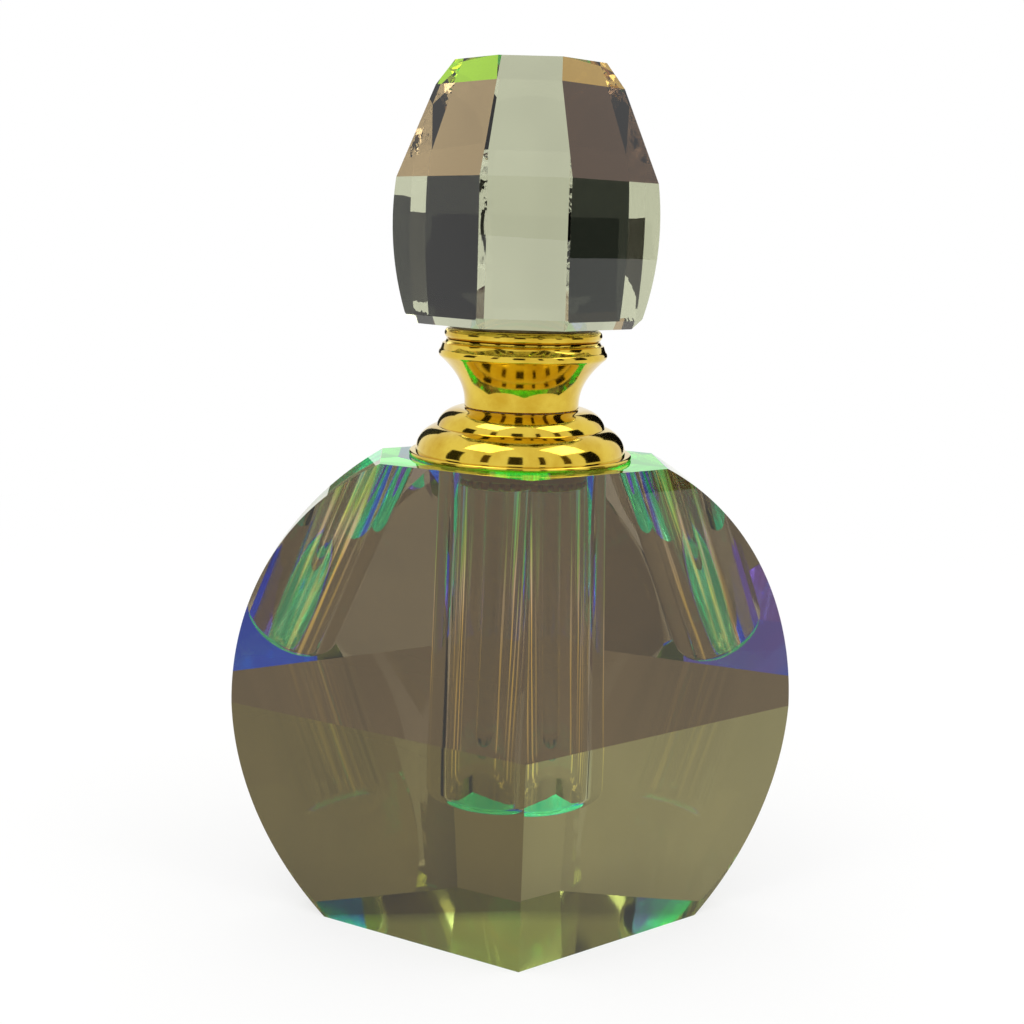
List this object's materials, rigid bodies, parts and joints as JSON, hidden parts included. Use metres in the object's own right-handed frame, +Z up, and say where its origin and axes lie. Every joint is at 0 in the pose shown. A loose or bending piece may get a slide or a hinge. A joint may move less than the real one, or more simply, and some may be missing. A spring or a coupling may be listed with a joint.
{
  "type": "crystal scent flask",
  "caption": "Disc-shaped cut crystal scent flask with a drilled bore, a stepped gilt collar and a faceted crystal stopper that lifts off with its dabber rod.",
  "frame": {"origin": "centre of the flat base, on the surface that the flask stands on", "axes": "+Z up along the bore and the stopper; +X across the wide round face; -Y towards the viewer of the picture"},
  "size_m": [0.06, 0.0386, 0.0881],
  "materials": {
    "flask_crystal": "cut and polished smoke-tinted crystal with an iridescent coat under the base",
    "knob_crystal": "cut and polished crystal",
    "gilt": "polished gold plating",
    "gilt_inner": "gold plating, notched lower edge",
    "liner_plastic": "natural moulded plastic",
    "plug_plastic": "natural moulded plastic with sealing ribs",
    "seal_rubber": "soft clear washer",
    "bond": "cured clear adhesive over gold",
    "rod_glass": "fire-polished glass rod"
  },
  "bodies": {
    "flask": {"crystal_flask": "flask_crystal", "neck_collar": "gilt", "neck_sleeve": "gilt_inner", "neck_liner": "liner_plastic"},
    "seal": {"seal_ring": "seal_rubber"},
    "stopper": {"stopper_cup": "gilt", "knob_seat": "gilt", "knob_pad": "bond", "crystal_knob": "knob_crystal", "stopper_plug": "plug_plastic", "dabber_rod": "rod_glass"}
  },
  "joints": [
    {"name": "stopper_lift", "type": "slide", "parent": "flask", "child": "seal", "axis": [0, 0, 1], "range_m": [0, 0.046]},
    {"name": "stopper_turn", "type": "hinge", "parent": "seal", "child": "stopper", "pos_m": [0, 0, 0.0537], "axis": [0, 0, 1], "continuous": true}
  ]
}
